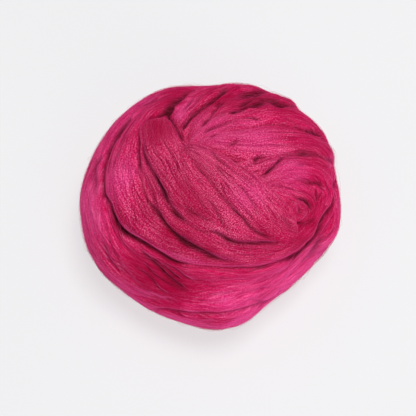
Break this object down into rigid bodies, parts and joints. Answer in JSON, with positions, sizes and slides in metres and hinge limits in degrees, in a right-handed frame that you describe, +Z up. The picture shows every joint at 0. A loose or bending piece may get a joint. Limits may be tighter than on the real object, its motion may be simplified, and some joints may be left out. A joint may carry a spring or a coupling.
{
  "type": "ball of wool roving",
  "caption": "Wound ball of combed wool roving: a squashed round nest of broad soft overlapping turns, its end tucked in as a curl, flat where it rests",
  "frame": {"origin": "middle of the ball's footprint on the surface that it rests on", "axes": "+Z up, the ball's shortest extent; +X along its longer side, towards the tucked curl"},
  "size_m": [0.1587, 0.1515, 0.0888],
  "materials": {
    "roving": "dyed combed wool, matt and soft with a faint sheen along the fibres, raspberry pink"
  },
  "bodies": {
    "root": {"roving_ball": "roving"}
  },
  "joints": []
}
